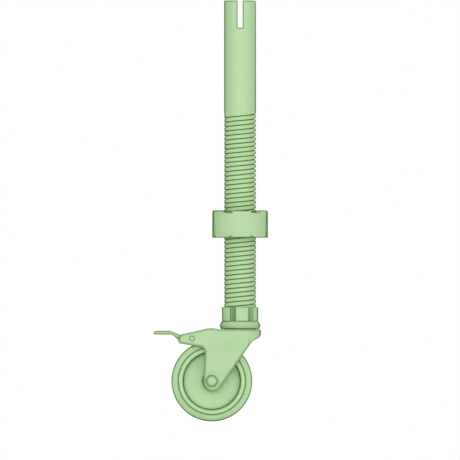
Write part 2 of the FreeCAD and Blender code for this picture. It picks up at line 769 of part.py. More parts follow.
def brake_pedal():
    """A pressed channel: a tread and two side flanges that run back to the pin."""
    body = brake_body("brake_pedal")
    tip = "-(pedal_length - pivot_x)"
    hub = "pedal_hub_radius"
    side = start_sketch(body, "XZ_Plane", "side")
    outline(side, [
        (tip, "tread_tip_height", "pedal_edge_radius"),
        (f"{tip} + tread_bend", "tread_height", "tread_bend_radius"),
        (f"{tip} + tread_end", "tread_height", "tread_end_radius"),
        (f"{tip} + neck_start", "neck_height", "neck_start_radius"),
        (f"{tip} + neck_end", "neck_height", "2 * pedal_edge_radius"),
        (f"-{hub} / 3", hub, "2 * pedal_edge_radius"),
        (hub, hub, f"{hub} * {HUB_ROUND}"),
        (hub, f"-{hub}", f"{hub} * {HUB_ROUND}"),
        (f"{tip} + flange_toe", f"-{hub} + flange_toe_rise", "flange_radius"),
        (f"{tip} + flange_step", "-flange_step_drop", "flange_radius"),
        (f"{tip} + flange_front", "tread_tip_height - pedal_sheet", "flange_front_radius"),
        (tip, "tread_tip_height - tread_lip", "pedal_edge_radius"),
    ])
    pad(body, side, "2 * pedal_outer", middle=True)
    under = start_sketch(body, "XZ_Plane", "under")
    thick = "pedal_sheet"
    shift = f"{thick} / 2 * (tread_height - neck_height) / (neck_start - tread_end)"
    outline(under, [
        (f"{tip} + {thick}", f"tread_tip_height - {thick}"),
        (f"{tip} + tread_bend", f"tread_height - {thick}", f"tread_bend_radius - {thick}"),
        (f"{tip} + tread_end - {shift}", f"tread_height - {thick}", f"tread_end_radius - {thick}"),
        (f"{tip} + neck_start - {shift}", f"neck_height - {thick}", f"neck_start_radius + {thick}"),
        (f"{tip} + neck_end - neck_web", f"neck_height - {thick}"),
        (f"{tip} + neck_end - neck_web", "tread_height"),
        (f"2 * {hub}", "tread_height"), (f"2 * {hub}", f"-2 * {hub}"), (f"{tip} + {thick}", f"-2 * {hub}"),
    ])
    pocket(body, under, "under_cut", "2 * (pedal_outer - pedal_sheet)", middle=True)
    hole = start_sketch(body, "XZ_Plane", "hole")
    circle(hole, "pivot_pin_diameter / 2 + turning_gap")
    pocket(body, hole, "hole_cut", middle=True)


def brake_shoe():
    """Cam block between the pedal's flanges, whose nose swings onto the tyre."""
    body = brake_body("brake_shoe")
    cam = start_sketch(body, "XZ_Plane", "cam")
    width = "(pedal_hub_radius - shoe_gap)"
    rounding = f"{width} * {FULL_ROUND}"
    reach = "(sqrt(pivot_behind * pivot_behind + pivot_above * pivot_above) - wheel_r - shoe_gap)"
    outline(cam, [
        (width, width, rounding), (f"-{width}", width, rounding),
        (f"-{width}", f"-{reach}", rounding), (width, f"-{reach}", rounding),
    ])
    circle(cam, "pivot_pin_diameter / 2 + turning_gap")
    pad(body, cam, "2 * (pedal_outer - pedal_sheet - shoe_end_gap)", middle=True)


def brake_fittings():
    pin = brake_body("brake_pin")
    end = start_sketch(pin, "XZ_Plane", "end")
    circle(end, "pivot_pin_diameter / 2")
    pad(pin, end, "2 * fork_outer", middle=True)
    spring = castor_body("brake_leaf_spring")
    side = start_sketch(spring, "XZ_Plane", "side")
    top, thick = "-crown_under", "spring_thickness"
    outline(side, [
        ("-crown_r + spring_inset", top), ("-pivot_x + spring_reach", top, "spring_radius"),
        ("-pivot_x + spring_inset", f"{top} - spring_set"),
        ("-pivot_x + spring_inset", f"{top} - spring_set - {thick}"),
        (f"-pivot_x + spring_reach - {thick} / 4", f"{top} - {thick}", "spring_radius"),
        ("-crown_r + spring_inset", f"{top} - {thick}"),
    ])
    pad(spring, side, "spring_width", middle=True)


def adjusting_nut():
    """Moulded ring nut: a castellated rim above, and pockets between ribs below."""
    body = start_body("adjusting_nut", z="-nut_drop")
    bore = "thread_r + turning_gap"
    seat = "washer_diameter / 2 + turning_gap"
    spin(body, [
        (bore, "-nut_height"), ("nut_r", "-nut_height"), ("nut_r", "0", "nut_edge_radius"),
        (seat, "0"), (seat, "-washer_thickness"), (bore, "-washer_thickness"),
    ])
    inner, outer = f"{bore} + nut_hub_wall", "nut_r - nut_rim_wall"
    roof = "-nut_height + nut_pocket_depth"
    spin(body, [(inner, "-nut_height"), (outer, "-nut_height"), (outer, roof), (inner, roof)],
         name="pocket", cut=True)
    between = f"nut_drain_turn + 180 / {NUT_POCKETS}"
    rib = start_sketch(body, "XY_Plane", "rib", lift="-nut_height", turn=between)
    box(rib, f"{inner} - {OVERLAP}", f"{outer} + {OVERLAP}", "nut_rib / 2")
    repeat(body, pad(body, rib, "nut_pocket_depth", "rib_pad"), rib, "N_Axis", NUT_POCKETS)
    drain = start_sketch(body, "XY_Plane", "drain", lift="-nut_height", turn="nut_drain_turn")
    box(drain, f"{outer} - {OVERLAP}", f"nut_r + {OVERLAP}", "nut_drain_width / 2")
    hole = pocket(body, drain, "drain_cut", "nut_drain_height", reverse=True)
    repeat(body, hole, drain, "N_Axis", NUT_POCKETS)
    notch = start_sketch(body, "XY_Plane", "notch", turn="nut_notch_turn")
    box(notch, f"{seat} + nut_notch_lip", "nut_r + nut_notch_depth * 2", "nut_notch_width / 2")
    cutter = pocket(body, notch, "notch_cut", "nut_notch_depth")
    bind(cutter, "TaperAngle", "-atan((nut_notch_width - nut_notch_floor) / 2 / nut_notch_depth)")
    repeat(body, cutter, notch, "N_Axis", NOTCHES)
    washer = start_body("thrust_washer", z="-nut_drop")
    washer_bore = "leg_diameter / 2 + washer_gap"
    ring(washer, "washer_diameter / 2", washer_bore, "0", "-washer_thickness + thrust_gap")


PIECES = (
    leg_tube, leg_plug, slotted_collar, head_cap, swivel_bearing, king_bolt, fork, wheel,
    roller_bearing, axle, brake_pedal, brake_shoe, brake_fittings, adjusting_nut,
)
for piece in PIECES:
    piece()
doc.recompute()

for item in doc.Objects:
    if {"Invalid", "Error"} & set(item.State):
        raise RuntimeError(f"{item.Name} failed: {item.State}")
for body in parts:
    if body.Shape.isNull() or not body.Shape.isValid():
        raise RuntimeError(f"{body.Label} has no valid shape")
os.makedirs("parts", exist_ok=True)
for body in parts:
    body.Shape.exportStep(f"parts/{body.Label}.step")
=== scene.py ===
# %% [markdown]
# # A levelling castor
# A threaded tubular leg stands on a braked swivel castor. A notched nut climbs the leg and carries the
# frame above. The frame holds every solid at its place and size, in metres, with the top of the leg at the
# origin. This notebook dresses those solids: the pieces that show are modelled again or have their edges
# rounded, the hidden ones get a finish alone, and the light and camera come last.

# %% Load the frame
import math

import bmesh
import bpy
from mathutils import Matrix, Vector


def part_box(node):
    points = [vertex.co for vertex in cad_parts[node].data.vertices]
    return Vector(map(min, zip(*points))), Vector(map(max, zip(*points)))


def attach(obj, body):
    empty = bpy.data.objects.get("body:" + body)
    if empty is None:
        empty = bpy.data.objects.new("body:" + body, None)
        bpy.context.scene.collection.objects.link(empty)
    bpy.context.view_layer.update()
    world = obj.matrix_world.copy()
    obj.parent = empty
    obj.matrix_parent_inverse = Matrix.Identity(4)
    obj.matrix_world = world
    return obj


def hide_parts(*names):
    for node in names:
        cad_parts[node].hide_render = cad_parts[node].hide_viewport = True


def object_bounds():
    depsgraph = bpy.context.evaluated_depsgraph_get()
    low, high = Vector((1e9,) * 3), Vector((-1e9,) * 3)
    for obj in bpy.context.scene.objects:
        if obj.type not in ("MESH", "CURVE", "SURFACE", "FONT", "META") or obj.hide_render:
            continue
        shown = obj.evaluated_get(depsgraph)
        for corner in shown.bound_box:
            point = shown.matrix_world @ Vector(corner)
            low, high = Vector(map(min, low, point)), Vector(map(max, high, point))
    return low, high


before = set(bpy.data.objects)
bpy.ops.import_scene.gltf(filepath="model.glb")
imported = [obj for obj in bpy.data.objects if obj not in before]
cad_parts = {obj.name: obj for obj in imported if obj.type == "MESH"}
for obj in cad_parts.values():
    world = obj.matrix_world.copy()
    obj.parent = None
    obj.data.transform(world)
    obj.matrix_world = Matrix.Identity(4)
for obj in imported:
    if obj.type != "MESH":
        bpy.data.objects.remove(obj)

cad_low, cad_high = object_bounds()
print("box of the solids, mm:", [round(1000 * side) for side in cad_high - cad_low])

# %% [markdown]
# ## Hands for the work
# Blender's operators act on whatever is selected, and the loaded solids come in selected. So each step
# first lets go of everything, then takes one piece, and picks its faces or edges by their place and not by
# number. A pick by place still finds the right ones when a size in the frame changes.

# %% Take one piece, and pick parts of it by place
TINY = 1e-5


def take(piece):
    """Makes this the only selected piece, ready for the next operator."""
    bpy.ops.object.select_all(action="DESELECT")
    piece.select_set(True)
    bpy.context.view_layer.objects.active = piece


def edit(piece):
    """Takes a piece and opens it in edit mode."""
    take(piece)
    bpy.ops.object.mode_set(mode="EDIT")


def done():
    bpy.ops.object.mode_set(mode="OBJECT")


def pick(piece, test, kind="FACE"):
    """In edit mode, selects only the points, edges or faces that pass the test."""
    bpy.ops.mesh.select_mode(type=kind)
    bpy.ops.mesh.select_all(action="DESELECT")
    mesh = bmesh.from_edit_mesh(piece.data)
    mesh.normal_update()
    for item in {"VERT": mesh.verts, "EDGE": mesh.edges, "FACE": mesh.faces}[kind]:
        if test(item):
            item.select_set(True)
    mesh.select_flush_mode()
    bmesh.update_edit_mesh(piece.data)


def middle(item):
    """The middle of an edge's or a face's points."""
    return sum((point.co for point in item.verts), Vector()) / len(item.verts)


def off_axis(point):
    """How far a point lies from the leg's axis."""
    return math.hypot(point.x, point.y)


# %% Finish a mesh: clean it, soften its edges, smooth it
def clean(piece):
    """Joins points that coincide and turns every face outwards."""
    edit(piece)
    bpy.ops.mesh.select_all(action="SELECT")
    bpy.ops.mesh.remove_doubles(threshold=TINY)
    bpy.ops.mesh.normals_make_consistent(inside=False)
    done()


def apply_modifier(piece, kind, **settings):
    """Adds a modifier with these settings and applies it at once."""
    take(piece)
    modifier = piece.modifiers.new(kind.title(), kind)
    for name, value in settings.items():
        setattr(modifier, name, value)
    bpy.ops.object.modifier_apply(modifier=modifier.name)


SHARP = math.radians(35)


def soften(piece, width, segments=2):
    """Rounds every sharp edge, as a mould or a paint coat does."""
    apply_modifier(
        piece, "BEVEL", width=width, segments=segments, limit_method="ANGLE", angle_limit=SHARP,
        use_clamp_overlap=True, miter_outer="MITER_ARC",
    )


def smooth(piece, corner=32):
    """Shades a piece smooth, and keeps what is sharper than the corner, in degrees, crisp."""
    take(piece)
    bpy.ops.object.shade_smooth_by_angle(angle=math.radians(corner))


def settle(piece, body, *nodes):
    """Puts a finished piece in the place of its solids, on the body that carries them."""
    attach(piece, body)
    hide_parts(*nodes)
    low, high = (Vector(map(edge, zip(*(point.co for point in piece.data.vertices)))) for edge in (min, max))
    print(
        piece.name, len(piece.data.polygons), "faces,", [round(1000 * side, 1) for side in high - low], "mm",
    )


# %% [markdown]
# ## Turned pieces
# The collar, the cap, the tyre and the wheel core are turned forms, and the leg's thread starts from a
# section too. A lathe copies one section all the way round, and so does the Spin operator. The section is
# drawn as a modeller draws it: one point is extruded to the next, and a corner that the tool would round is
# bevelled as a point. Spin leaves a seam where the last copy meets the first, so the points there are
# joined afterwards.

# %% Draw a section and spin it
def draw_section(name, corners, place, segments=5):
    """Extrudes a point from corner to corner. A corner is (radius, height) or (radius, height, rounding)."""
    bpy.ops.object.select_all(action="DESELECT")
    bpy.ops.mesh.primitive_plane_add(size=TINY)
    piece = bpy.context.object
    piece.name = piece.data.name = name
    bpy.ops.object.mode_set(mode="EDIT")
    bpy.ops.mesh.select_mode(type="VERT")
    bpy.ops.mesh.select_all(action="SELECT")
    bpy.ops.mesh.merge(type="CENTER")
    bpy.ops.transform.translate(value=place(*corners[0][:2]))
    for before, after in zip(corners, corners[1:]):
        step = place(*after[:2]) - place(*before[:2])
        bpy.ops.mesh.extrude_region_move(TRANSFORM_OT_translate={"value": step})
    for corner in corners:
        if len(corner) == 3:
            here = place(*corner[:2])
            pick(piece, lambda point: (point.co - here).length < TINY, "VERT")
            bpy.ops.mesh.bevel(offset=corner[2], segments=segments, affect="VERTICES", clamp_overlap=True)
    return piece


def spin(piece, centre, axis, steps=128):
    """Turns the section in edit mode once round, and closes it."""
    bpy.ops.mesh.select_mode(type="VERT")
    bpy.ops.mesh.select_all(action="SELECT")
    bpy.ops.mesh.spin(steps=steps, angle=math.tau, center=centre, axis=axis)
    done()
    clean(piece)


UP = Vector((0, 0, 1))
AXLE = Vector((0, 1, 0))


def turned_upright(name, corners):
    """A form turned about the leg's axis, with heights measured in the frame."""
    piece = draw_section(name, corners, lambda radius, height: Vector((radius, 0, height)))
    spin(piece, (0, 0, 0), UP)
    return piece


wheel_low, wheel_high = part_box("tyre")
wheel_centre = (wheel_low + wheel_high) / 2


def turned_on_axle(name, corners):
    """A form turned about the axle, with widths measured from the middle of the wheel."""
    piece = draw_section(name, corners, lambda radius, width: wheel_centre + Vector((radius, width, 0)))
    spin(piece, wheel_centre, AXLE)
    return piece


# %% [markdown]
# ## The leg
# The real leg is a steel tube with a coarse two-start thread rolled or cut into it, so each start climbs
# two ridges a turn. A groove could be faked with bump, but the ridges catch the light all the way down and
# their ends show, so the thread is real mesh. The section of one full turn, both grooves in it, is drawn
# upright at the tube's surface, and the Screw modifier carries it round and up. Then two cuts trim it
# level, and its open rims are extruded into the plain stretch, the end and the bore.

# %% Sizes of the leg
leg_low, leg_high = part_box("leg_tube")
leg_radius = leg_high.x
# The gap all round a seat that is pushed together.
SEAT_GAP = 0.00005
# How far the thread's crests lie inside the plain tube.
CREST_DROP = 0.00025
bore_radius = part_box("leg_plug")[1].x + SEAT_GAP
crest_radius = leg_radius - CREST_DROP
THREAD_LEAD = 0.013967
STARTS = 2
GROOVE_DEPTH = 0.0014
GROOVE_TOP = 0.0029
GROOVE_FLOOR = 0.0005
CREST_ROUND = 0.0003
FLOOR_ROUND = 0.0002
THREAD_TOP = -0.1752
RUN_OUT = 0.0012
STEPS_A_TURN = 72
LEG_CHAMFER = 0.0006
# A point this close to a cutting plane counts as lying on it.
CUT_THRESHOLD = TINY / 10


# %% Screw the thread
def thread_section():
    """One turn's worth of section, from one crest to the same crest a lead higher."""
    pitch = THREAD_LEAD / STARTS
    crest = pitch - GROOVE_TOP
    slope = (GROOVE_TOP - GROOVE_FLOOR) / 2
    corners = []
    for start in range(STARTS):
        foot = start * pitch
        corners += [
            (crest_radius, foot),
            (crest_radius, foot + crest, CREST_ROUND),
            (crest_radius - GROOVE_DEPTH, foot + crest + slope, FLOOR_ROUND),
            (crest_radius - GROOVE_DEPTH, foot + crest + slope + GROOVE_FLOOR, FLOOR_ROUND),
            (crest_radius, foot + pitch - CREST_ROUND),
        ]
    corners.append((crest_radius, THREAD_LEAD))
    return corners


def thread_skin():
    """The threaded skin, longer at both ends than the leg needs.

    Its top groove leaves the front at the right edge.
    """
    turns = math.ceil((THREAD_TOP - leg_low.z) / THREAD_LEAD) + 2
    groove_middle = THREAD_LEAD / STARTS - GROOVE_TOP / 2
    foot = THREAD_TOP - groove_middle - (turns - 1) * THREAD_LEAD
    piece = draw_section(
        "threaded_leg", thread_section(), lambda radius, height: Vector((radius, 0, foot + height)),
        segments=2,
    )
    done()
    apply_modifier(
        piece, "SCREW", axis="Z", angle=math.tau, screw_offset=THREAD_LEAD, iterations=turns,
        steps=STEPS_A_TURN, render_steps=STEPS_A_TURN, use_merge_vertices=False,
    )
    clean(piece)
    return piece


def run_out(piece):
    """Brings the groove up to the plain tube over a short stretch, where the cutter was drawn back."""
    for point in piece.data.vertices:
        share = min(max((point.co.z - THREAD_TOP) / RUN_OUT + 0.5, 0), 1)
        share = share * share * (3 - 2 * share)
        radius = off_axis(point.co)
        wanted = radius + (leg_radius - radius) * share
        point.co.x *= wanted / radius
        point.co.y *= wanted / radius


# %% Trim the skin, then extrude the plain stretch, the end and the bore
def at_height(height):
    """A test for the edges that lie level at a height."""
    return lambda edge: all(abs(point.co.z - height) < TINY for point in edge.verts)


def extrude_rim(move=(0, 0, 0), scale=1.0):
    """Draws the selected rim out, moved or scaled about the leg's axis."""
    bpy.ops.mesh.extrude_region_move(TRANSFORM_OT_translate={"value": move})
    if scale != 1:
        bpy.ops.transform.resize(value=(scale, scale, 1), center_override=(0, 0, 0))


def make_leg():
    """Trims the thread and draws the plain stretch, the end and the bore out of its rims."""
    piece = thread_skin()
    run_out(piece)
    plain_foot = THREAD_TOP + 2 * RUN_OUT
    chamfer = LEG_CHAMFER
    edit(piece)
    for height, side in ((plain_foot, 1), (leg_low.z, -1)):
        bpy.ops.mesh.select_all(action="SELECT")
        bpy.ops.mesh.bisect(
            plane_co=(0, 0, height), plane_no=(0, 0, side), clear_outer=True, use_fill=False,
            threshold=CUT_THRESHOLD,
        )
    # A cut leaves edges a hundredth of a millimetre long, and a bridge over one of those goes astray.
    bpy.ops.mesh.select_all(action="SELECT")
    bpy.ops.mesh.remove_doubles(threshold=3 * TINY)
    pick(piece, at_height(plain_foot), "EDGE")
    extrude_rim(move=(0, 0, leg_high.z - chamfer - plain_foot))
    extrude_rim(move=(0, 0, chamfer), scale=(leg_radius - chamfer) / leg_radius)
    extrude_rim(scale=(bore_radius + chamfer) / (leg_radius - chamfer))
    extrude_rim(move=(0, 0, -chamfer), scale=bore_radius / (bore_radius + chamfer))
    extrude_rim(move=(0, 0, leg_low.z + chamfer))
    bpy.ops.mesh.select_mode(type="EDGE")
    pick(piece, lambda edge: edge.is_boundary, "EDGE")
    bpy.ops.mesh.bridge_edge_loops()
    done()
    clean(piece)
    return piece


# %% [markdown]
# The cross slot is milled right through both walls. A box is made at the slot's size and taken away with a
# Boolean modifier, because an exact cut keeps the tube round beside it.

# %% Cut the slot
SLOT_WIDTH = 0.0078
SLOT_DEPTH = 0.042
SLOT_ROUND = 0.0008


def cut_away(piece, cutter):
    """Takes the cutter's form away from a piece, and then the cutter itself."""
    apply_modifier(piece, "BOOLEAN", operation="DIFFERENCE", solver="EXACT", object=cutter)
    bpy.data.objects.remove(cutter)


def make_slot_cutter():
    """A block as wide as the slot and longer than the leg is across, with a rounded floor."""
    bpy.ops.object.select_all(action="DESELECT")
    bpy.ops.mesh.primitive_cube_add(size=1, location=(0, 0, 0))
    cutter = bpy.context.object
    bpy.ops.object.mode_set(mode="EDIT")
    bpy.ops.transform.resize(value=(SLOT_WIDTH, 4 * leg_radius, 2 * SLOT_DEPTH))
    pick(cutter, lambda face: face.normal.z < -0.9)
    bpy.ops.mesh.bevel(offset=SLOT_ROUND, segments=3, affect="EDGES")
    done()
    return cutter


leg = make_leg()
cut_away(leg, make_slot_cutter())
smooth(leg)
settle(leg, "leg", "leg_tube")

# %% [markdown]
# ## The adjusting nut
# This is a thick moulded ring that a scaffolder turns by hand or with a bar laid in its notches. It starts
# as a cylinder with 72 sides: that number divides by the eight pockets below and the six notches above, so
# each rib is exactly one side wide. Insets mark out the seat, the bore and the pocket walls, and extrusions
# sink them.

# %% Sizes of the nut
nut_low, nut_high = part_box("adjusting_nut")
nut_radius = nut_high.x
THRUST_GAP = 0.0001
TURNING_GAP = 0.00008
nut_seat_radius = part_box("thrust_washer")[1].x + THRUST_GAP
nut_bore_radius = crest_radius + TURNING_GAP
WASHER_DEPTH = 0.002
NUT_SIDES = 72
POCKETS = 8
RIM_WALL = 0.0042
HUB_WALL = 0.0052
POCKET_DEPTH = 0.034
NUT_EDGE = 0.0023
NOTCHES = 6
NOTCH_TOP = 0.0193
NOTCH_FLOOR = 0.0134
NOTCH_DEPTH = 0.0036
NOTCH_TURN = math.radians(4)
DRAIN_WIDTH = 0.0044
DRAIN_HEIGHT = 0.0023
DRAIN_TURN = math.radians(24.5)
NUT_SOFTNESS = 0.0004
# A cutter reaches this far past the wall it goes through.
OVERCUT = 0.001


# %% Shape the nut in edit mode
def inset_to(radius, now):
    """Insets the selected disc to a new radius."""
    bpy.ops.mesh.inset(thickness=(now - radius) * math.cos(math.pi / NUT_SIDES), use_even_offset=True)


def angle_of(item):
    """Where an edge or a face lies round the leg's axis."""
    place = middle(item)
    return math.atan2(place.y, place.x)


def in_pocket(face):
    """True for the faces between the ribs: of each nine sides round the underside, one is a rib."""
    place = middle(face)
    if face.normal.z > -0.9 or not nut_bore_radius + HUB_WALL < off_axis(place) < nut_radius - RIM_WALL:
        return False
    side = (angle_of(face) - DRAIN_TURN - math.pi / POCKETS) / math.tau * NUT_SIDES
    return round(side) % (NUT_SIDES // POCKETS) != 0


def make_nut_blank():
    """The nut before its notches: a ring with a seat above and pockets below."""
    height = nut_high.z - nut_low.z
    bpy.ops.object.select_all(action="DESELECT")
    bpy.ops.mesh.primitive_cylinder_add(
        vertices=NUT_SIDES, radius=nut_radius, depth=height, location=(0, 0, (nut_low.z + nut_high.z) / 2),
    )
    piece = bpy.context.object
    piece.name = piece.data.name = "castellated_nut"
    bpy.ops.object.transform_apply(location=True)
    bpy.ops.object.mode_set(mode="EDIT")
    bpy.ops.mesh.select_all(action="SELECT")
    turn = DRAIN_TURN + math.pi / POCKETS + math.pi / NUT_SIDES
    bpy.ops.transform.rotate(value=-turn, orient_axis="Z", center_override=(0, 0, 0))
    pick(piece, lambda face: face.normal.z > 0.9)
    inset_to(nut_seat_radius, nut_radius)
    bpy.ops.mesh.extrude_region_move(TRANSFORM_OT_translate={"value": (0, 0, -WASHER_DEPTH)})
    inset_to(nut_bore_radius, nut_seat_radius)
    bpy.ops.mesh.delete(type="FACE")
    pick(piece, lambda face: face.normal.z < -0.9)
    inset_to(nut_radius - RIM_WALL, nut_radius)
    inset_to(nut_bore_radius + HUB_WALL, nut_radius - RIM_WALL)
    inset_to(nut_bore_radius, nut_bore_radius + HUB_WALL)
    bpy.ops.mesh.delete(type="FACE")
    pick(piece, lambda edge: edge.is_boundary, "EDGE")
    bpy.ops.mesh.bridge_edge_loops()
    pick(piece, in_pocket)
    bpy.ops.mesh.extrude_region_move(TRANSFORM_OT_translate={"value": (0, 0, POCKET_DEPTH)})
    pick(
        piece, lambda edge: at_height(nut_high.z)(edge) and off_axis(middle(edge)) > nut_radius - NUT_EDGE,
        "EDGE",
    )
    bpy.ops.mesh.bevel(offset=NUT_EDGE, segments=5, affect="EDGES")
    done()
    clean(piece)
    return piece


# %% Cut the notches and the drain holes
def spread(cutter, count, turn):
    """Copies one cutter round the leg's axis and joins the copies."""
    copies = []
    for number in range(count):
        copy = cutter.copy()
        copy.data = cutter.data.copy()
        bpy.context.collection.objects.link(copy)
        edit(copy)
        bpy.ops.mesh.select_all(action="SELECT")
        bpy.ops.transform.rotate(
            value=-(turn + number * math.tau / count), orient_axis="Z", center_override=(0, 0, 0),
        )
        done()
        copies.append(copy)
    bpy.data.objects.remove(cutter)
    take(copies[0])
    for copy in copies:
        copy.select_set(True)
    bpy.ops.object.join()
    return copies[0]


def box_cutter(low, high):
    """A block between two corners, left in edit mode with all of it selected."""
    bpy.ops.object.select_all(action="DESELECT")
    bpy.ops.mesh.primitive_cube_add(size=1, location=(0, 0, 0))
    cutter = bpy.context.object
    bpy.ops.object.mode_set(mode="EDIT")
    bpy.ops.transform.resize(value=Vector(high) - Vector(low))
    bpy.ops.transform.translate(value=(Vector(high) + Vector(low)) / 2)
    return cutter


def make_notch_cutter():
    """A wedge across the rim, narrower at its floor."""
    near, far = nut_seat_radius - OVERCUT, nut_radius + 5 * OVERCUT
    floor_half = NOTCH_FLOOR / 2
    cutter = box_cutter((near, -floor_half, nut_high.z - NOTCH_DEPTH), (far, floor_half, nut_high.z))
    widen = NOTCH_TOP / NOTCH_FLOOR
    pick(cutter, lambda face: face.normal.z > 0.9)
    bpy.ops.transform.resize(value=(1, widen, 1), center_override=(0, 0, 0))
    bpy.ops.mesh.extrude_region_move(TRANSFORM_OT_translate={"value": (0, 0, NOTCH_DEPTH)})
    bpy.ops.transform.resize(value=(1, 2 - 1 / widen, 1), center_override=(0, 0, 0))
    done()
    return cutter


def make_drain_cutter():
    """A block through the rim's wall, half of it above the nut's underside."""
    half = DRAIN_WIDTH / 2
    near, far = nut_radius - RIM_WALL - OVERCUT, nut_radius + OVERCUT
    cutter = box_cutter((near, -half, nut_low.z - DRAIN_HEIGHT), (far, half, nut_low.z + DRAIN_HEIGHT))
    done()
    return cutter


nut = make_nut_blank()
cut_away(nut, spread(make_notch_cutter(), NOTCHES, NOTCH_TURN))
cut_away(nut, spread(make_drain_cutter(), POCKETS, DRAIN_TURN))
soften(nut, NUT_SOFTNESS)
smooth(nut)
settle(nut, "nut", "adjusting_nut")

# %% [markdown]
# ## The slotted collar
# The collar is locked round the foot of the leg, and a hook spanner turns it by its flutes. A flute is a
# round cut along the collar, so one cylinder is copied six times round and taken away.

# %% Turn the collar and cut its flutes
collar_low, collar_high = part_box("slotted_collar")
COLLAR_RADIUS = 0.0282
COLLAR_ROUND = 0.0008
COLLAR_SOFTNESS = 0.0003
FLUTES = 6
FLUTE_RADIUS = 0.0057
FLUTE_DEPTH = 0.003
FLUTE_TURN = math.radians(6.5)


def make_flute_cutter():
    """A cylinder that stands in the collar's wall as deep as a flute."""
    bpy.ops.object.select_all(action="DESELECT")
    bpy.ops.mesh.primitive_cylinder_add(
        vertices=48, radius=FLUTE_RADIUS, depth=2 * (collar_high.z - collar_low.z),
        location=(COLLAR_RADIUS - FLUTE_DEPTH + FLUTE_RADIUS, 0, (collar_low.z + collar_high.z) / 2),
    )
    bpy.ops.object.transform_apply(location=True)
    return bpy.context.object


def make_collar():
    """A plain ring with six flutes cut into it."""
    bore = crest_radius + SEAT_GAP
    low, high = collar_low.z, collar_high.z
    piece = turned_upright("fluted_collar", [
        (bore, low), (COLLAR_RADIUS, low, COLLAR_ROUND), (COLLAR_RADIUS, high, COLLAR_ROUND), (bore, high),
        (bore, low),
    ])
    cut_away(piece, spread(make_flute_cutter(), FLUTES, FLUTE_TURN))
    soften(piece, COLLAR_SOFTNESS)
    smooth(piece)
    return piece


collar = make_collar()
settle(collar, "leg", "slotted_collar")

# %% [markdown]
# ## The head cap
# The cap is a dish pressed from sheet. It swells below the collar, turns in at its rim and hides the swivel
# bearing. Its section is drawn once round both faces of the sheet, with generous rounding where the press
# bends it.

# %% Turn the cap
cap_low, cap_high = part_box("head_cap")
CAP_TOP_RADIUS = 0.0283
CAP_RIM_RADIUS = 0.0296
CAP_BELLY_DROP = 0.0074
CAP_SHEET = 0.0026
CAP_PLATE = 0.003
CAP_ROUND = 0.0012
CAP_BEND = 0.001
CAP_SOFTNESS = 0.0004
# The hole in the cap, as a share of the king bolt's head.
CAP_HOLE_SHARE = 0.7


def make_cap():
    """The dish, drawn from the hole out over the belly to the rim and back along the inside."""
    top, rim = cap_high.z, cap_low.z
    under = top - CAP_PLATE
    belly = cap_high.x
    belly_height = top - CAP_BELLY_DROP
    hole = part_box("king_bolt")[1].y * CAP_HOLE_SHARE
    piece = turned_upright("pressed_cap", [
        (hole, top), (CAP_TOP_RADIUS, top, CAP_ROUND),
        (belly - CAP_ROUND, (top + belly_height) / 2, CAP_BEND), (belly, belly_height, CAP_ROUND),
        (CAP_RIM_RADIUS, rim), (CAP_RIM_RADIUS - CAP_SHEET, rim),
        (belly - CAP_SHEET, belly_height, CAP_BEND), (CAP_TOP_RADIUS - CAP_SHEET, under),
        (hole, under), (hole, top),
    ])
    soften(piece, CAP_SOFTNESS)
    smooth(piece)
    return piece


cap = make_cap()
settle(cap, "leg", "head_cap")

# %% [markdown]
# ## The wheel
# The wheel core is one moulding: a hub, a flat web and a deep flange. The tyre is cast round it and locked
# in a channel. A close look shows a fine groove where the two meet, so both sections turn in there instead
# of meeting flush.

# %% Turn the tyre
TYRE_INNER = 0.05215
tyre_radius = (wheel_high.z - wheel_low.z) / 2
tyre_half = (wheel_high.y - wheel_low.y) / 2
TYRE_SHOULDER = 0.0045
TYRE_LIP_ROUND = 0.0007
CHANNEL_HALF = 0.01345
CHANNEL_RADIUS = 0.04905
WHEEL_CORNER = 40


def make_tyre():
    """The tread with its two shoulders, and the tongue that fills the core's channel."""
    corners = [
        (CHANNEL_RADIUS, -CHANNEL_HALF), (TYRE_INNER, -CHANNEL_HALF),
        (TYRE_INNER, -tyre_half, TYRE_LIP_ROUND), (tyre_radius, -tyre_half, TYRE_SHOULDER),
    ]
    mirrored = [(corner[0], -corner[1], *corner[2:]) for corner in reversed(corners)]
    piece = turned_on_axle("cast_tyre", corners + mirrored + corners[:1])
    smooth(piece, WHEEL_CORNER)
    return piece


tyre = make_tyre()
settle(tyre, "wheel", "tyre")

# %% Turn the wheel core
rim_low, rim_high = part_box("wheel_rim")
RIM_RADIUS = 0.0521
RIM_HALF = 0.016
WEB_HALF = 0.004
FLANGE_RADIUS = 0.045
HUB_RADIUS = 0.0132
SHELL_RADIUS = 0.01025
DRAFT = 0.002
END_ROUND = 0.0006
RIM_ROUND = 0.0008
WEB_FILLET = 0.0025


def make_rim():
    """Hub, web, flange and channel in one section, drawn for one side and mirrored."""
    hub_half = (rim_high.y - rim_low.y) / 2
    corners = [
        (SHELL_RADIUS, -hub_half), (HUB_RADIUS, -hub_half, END_ROUND),
        (HUB_RADIUS + DRAFT, -WEB_HALF, WEB_FILLET), (FLANGE_RADIUS - DRAFT, -WEB_HALF, WEB_FILLET),
        (FLANGE_RADIUS, -RIM_HALF, END_ROUND), (RIM_RADIUS, -RIM_HALF, RIM_ROUND),
        (RIM_RADIUS, -CHANNEL_HALF - TINY), (CHANNEL_RADIUS - TINY, -CHANNEL_HALF - TINY),
    ]
    mirrored = [(corner[0], -corner[1], *corner[2:]) for corner in reversed(corners)]
    piece = turned_on_axle("moulded_core", corners + mirrored + corners[:1])
    smooth(piece, WHEEL_CORNER)
    return piece


rim = make_rim()
settle(rim, "wheel", "wheel_rim")

